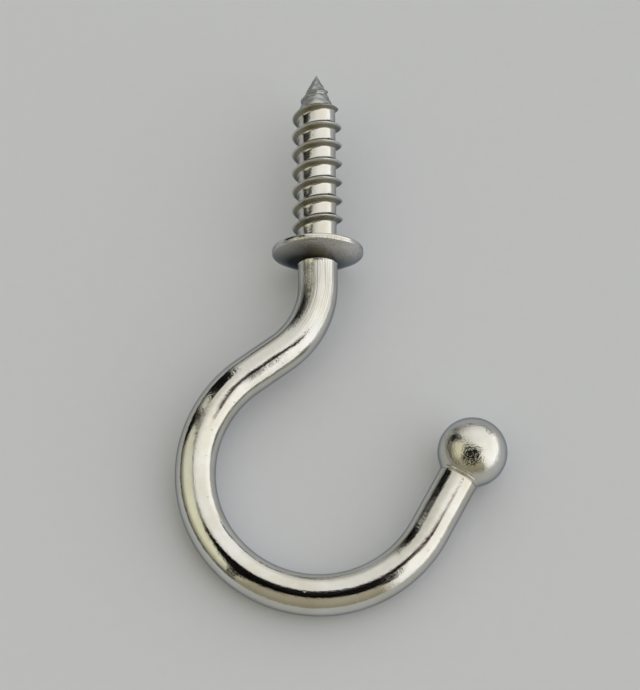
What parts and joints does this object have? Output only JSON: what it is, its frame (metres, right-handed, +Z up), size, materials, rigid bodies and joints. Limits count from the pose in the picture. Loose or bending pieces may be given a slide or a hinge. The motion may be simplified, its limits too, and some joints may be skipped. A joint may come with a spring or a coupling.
{
  "type": "screw hook",
  "caption": "Round wire bent into an open hook with a ball on its free end, above it a round collar and a pointed wood-screw thread to fix it in timber.",
  "frame": {"origin": "centre of the collar's seat face, on the screw's axis, where the hook meets the timber", "axes": "+Z up, away from the surface that the hook lies on; +Y along the hook's length towards the screw's point, which stands 4.3 degrees above level as the hook rests on its collar; +X to the side that the ball is on"},
  "size_m": [0.0399, 0.0699, 0.0114],
  "materials": {
    "plated_steel": "bright nickel or zinc plate on drawn steel wire, slightly warm, with fine pits and draw marks"
  },
  "bodies": {
    "root": {"screw_hook": "plated_steel"}
  },
  "joints": []
}
